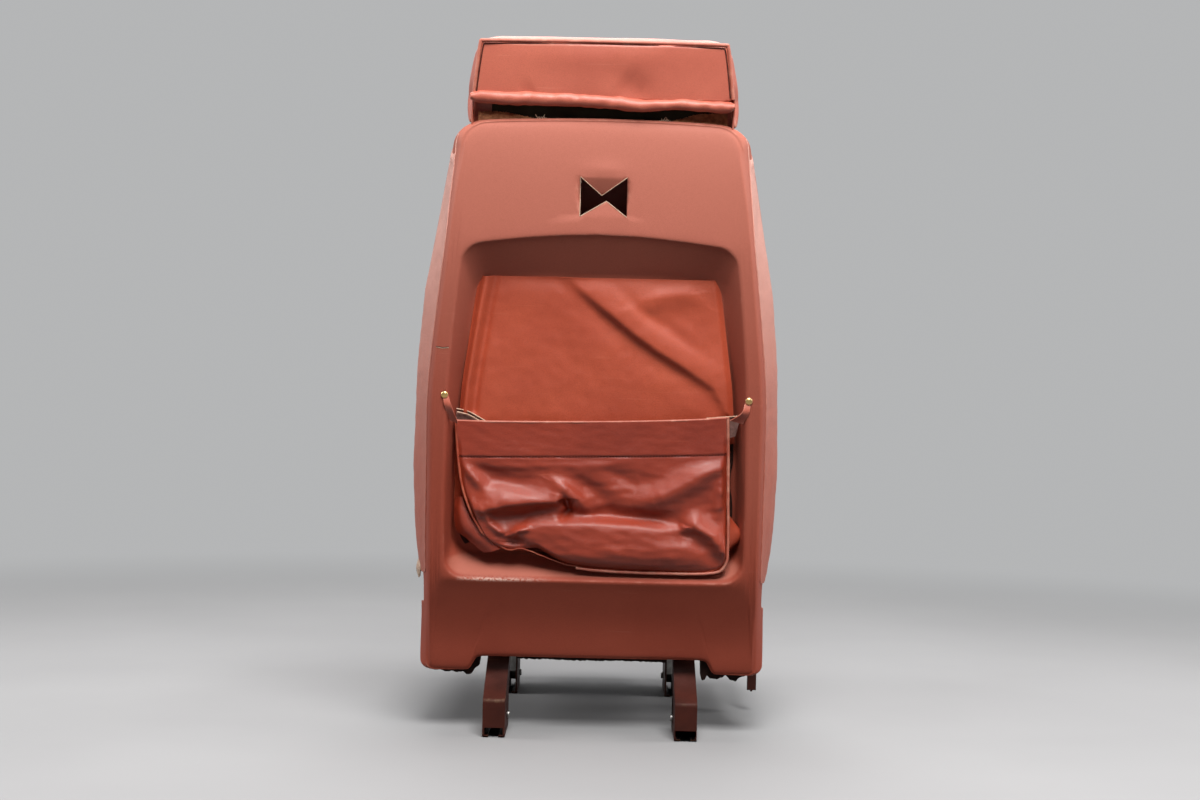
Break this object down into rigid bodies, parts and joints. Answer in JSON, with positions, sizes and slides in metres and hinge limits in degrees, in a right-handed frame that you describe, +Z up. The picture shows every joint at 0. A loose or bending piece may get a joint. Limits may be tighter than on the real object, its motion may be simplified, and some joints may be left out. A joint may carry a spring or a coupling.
{
  "type": "aircraft co-pilot seat",
  "caption": "Light-aircraft co-pilot seat on floor-rail feet, with a reclining moulded back, leather map pocket, height-adjustable headrest and spring-loaded rail locks.",
  "frame": {"origin": "on the floor plane under the middle of the seat", "axes": "+Z up; the occupant faces -Y; +X is the occupant's left"},
  "size_m": [0.5074, 0.6796, 0.9574],
  "materials": {
    "shell_plastic": "matte reddish-brown moulded plastic, scuffed pale along its edges",
    "leather": "glossy red-brown leather with pale worn piping",
    "frame_paint": "dark brown paint, worn to metal at the edges",
    "khaki_board": "matte khaki primer on sheet",
    "steel": "dull zinc-plated steel",
    "brass": "tarnished brass",
    "nylon": "cream nylon",
    "grip_plastic": "black grained plastic"
  },
  "bodies": {
    "base": {"rear_leg_left": "frame_paint", "rear_leg_right": "frame_paint", "front_leg_left": "frame_paint", "front_leg_right": "frame_paint", "rear_axle_left": "steel", "rear_axle_right": "steel", "front_axle_left": "steel", "front_axle_right": "steel", "frame_rail_left": "frame_paint", "frame_rail_right": "frame_paint", "front_cross_tube": "frame_paint", "rear_cross_tube": "frame_paint", "seat_pan": "frame_paint", "seat_cushion": "leather", "hinge_bracket_left": "frame_paint", "hinge_bracket_right": "frame_paint", "pivot_bolt_left": "steel", "pivot_bolt_right": "steel", "pin_guide_left": "steel", "pin_guide_right": "steel", "pin_spring_left": "steel", "pin_spring_right": "steel", "bar_bracket_left": "frame_paint", "bar_bracket_right": "frame_paint", "bar_bolt_left": "steel", "bar_bolt_right": "steel", "lock_bracket": "frame_paint", "lock_cylinder": "steel"},
    "backrest": {"back_stile_left": "frame_paint", "back_stile_right": "frame_paint", "back_lower_rail": "frame_paint", "back_middle_rail": "frame_paint", "back_top_rail": "frame_paint", "back_board": "khaki_board", "back_cushion": "leather", "back_shell": "shell_plastic", "pocket_stud_left": "brass", "pocket_stud_right": "brass", "pocket_lining": "leather", "map_pocket": "leather", "headrest_socket_left": "steel", "headrest_socket_right": "steel", "recline_arm": "frame_paint", "lock_pivot_pin": "steel"},
    "headrest": {"headrest_frame": "khaki_board", "headrest_cushion": "leather"},
    "lock_rod": {"lock_rod": "steel"},
    "recline_lever": {"recline_lever": "frame_paint", "lever_shaft": "steel", "lever_grip": "grip_plastic"},
    "release_plunger": {"release_plunger": "brass"},
    "adjust_bar": {"adjust_bar": "frame_paint"},
    "lock_pin_left": {"lock_pin_left": "steel"},
    "lock_pin_right": {"lock_pin_right": "steel"},
    "rear_roller_left": {"rear_roller_left": "nylon"},
    "rear_roller_right": {"rear_roller_right": "nylon"},
    "front_roller_left": {"front_roller_left": "nylon"},
    "front_roller_right": {"front_roller_right": "nylon"}
  },
  "joints": [
    {"name": "recline", "type": "hinge", "parent": "base", "child": "backrest", "pos_m": [0, 0.15, 0.198], "axis": [-1, 0, 0], "range_deg": [-4, 20]},
    {"name": "headrest_height", "type": "slide", "parent": "backrest", "child": "headrest", "axis": [0, 0.1908, 0.9816], "range_m": [0, 0.07]},
    {"name": "lock_rod_slide", "type": "slide", "parent": "base", "child": "lock_rod", "axis": [0, 1, 0], "range_m": [-0.026, 0.008]},
    {"name": "recline_lever_lift", "type": "hinge", "parent": "base", "child": "recline_lever", "pos_m": [0, -0.022, 0.11501], "axis": [-1, 0, 0], "range_deg": [0, 8], "stiffness_Nm_per_rad": 1.5, "springref_deg": -22.92},
    {"name": "release_plunger_press", "type": "slide", "parent": "base", "child": "release_plunger", "axis": [0, 1, 0], "range_m": [0, 0.0033]},
    {"name": "adjust_bar_lift", "type": "hinge", "parent": "base", "child": "adjust_bar", "pos_m": [0, -0.12, 0.088], "axis": [-1, 0, 0], "range_deg": [0, 12], "stiffness_Nm_per_rad": 2, "springref_deg": -22.92},
    {"name": "lock_pin_lift_left", "type": "slide", "parent": "base", "child": "lock_pin_left", "axis": [0, 0, 1], "range_m": [0, 0.0145], "deforming": ["pin_spring_left"]},
    {"name": "lock_pin_lift_right", "type": "slide", "parent": "base", "child": "lock_pin_right", "axis": [0, 0, 1], "range_m": [0, 0.0145], "deforming": ["pin_spring_right"]},
    {"name": "rear_roller_spin_left", "type": "hinge", "parent": "base", "child": "rear_roller_left", "pos_m": [0.1325, 0.165, 0.0223], "axis": [1, 0, 0], "continuous": true},
    {"name": "rear_roller_spin_right", "type": "hinge", "parent": "base", "child": "rear_roller_right", "pos_m": [-0.1325, 0.165, 0.0223], "axis": [1, 0, 0], "continuous": true},
    {"name": "front_roller_spin_left", "type": "hinge", "parent": "base", "child": "front_roller_left", "pos_m": [0.1325, -0.218, 0.0223], "axis": [1, 0, 0], "continuous": true},
    {"name": "front_roller_spin_right", "type": "hinge", "parent": "base", "child": "front_roller_right", "pos_m": [-0.1325, -0.218, 0.0223], "axis": [1, 0, 0], "continuous": true}
  ],
  "couplings": [
    {"joint": "lock_rod_slide", "follows": "recline", "m_per_rad": -0.069},
    {"joint": "release_plunger_press", "follows": "recline_lever_lift", "m_per_rad": 0.0155},
    {"joint": "lock_pin_lift_left", "follows": "adjust_bar_lift", "m_per_rad": 0.068},
    {"joint": "lock_pin_lift_right", "follows": "adjust_bar_lift", "m_per_rad": 0.068}
  ]
}
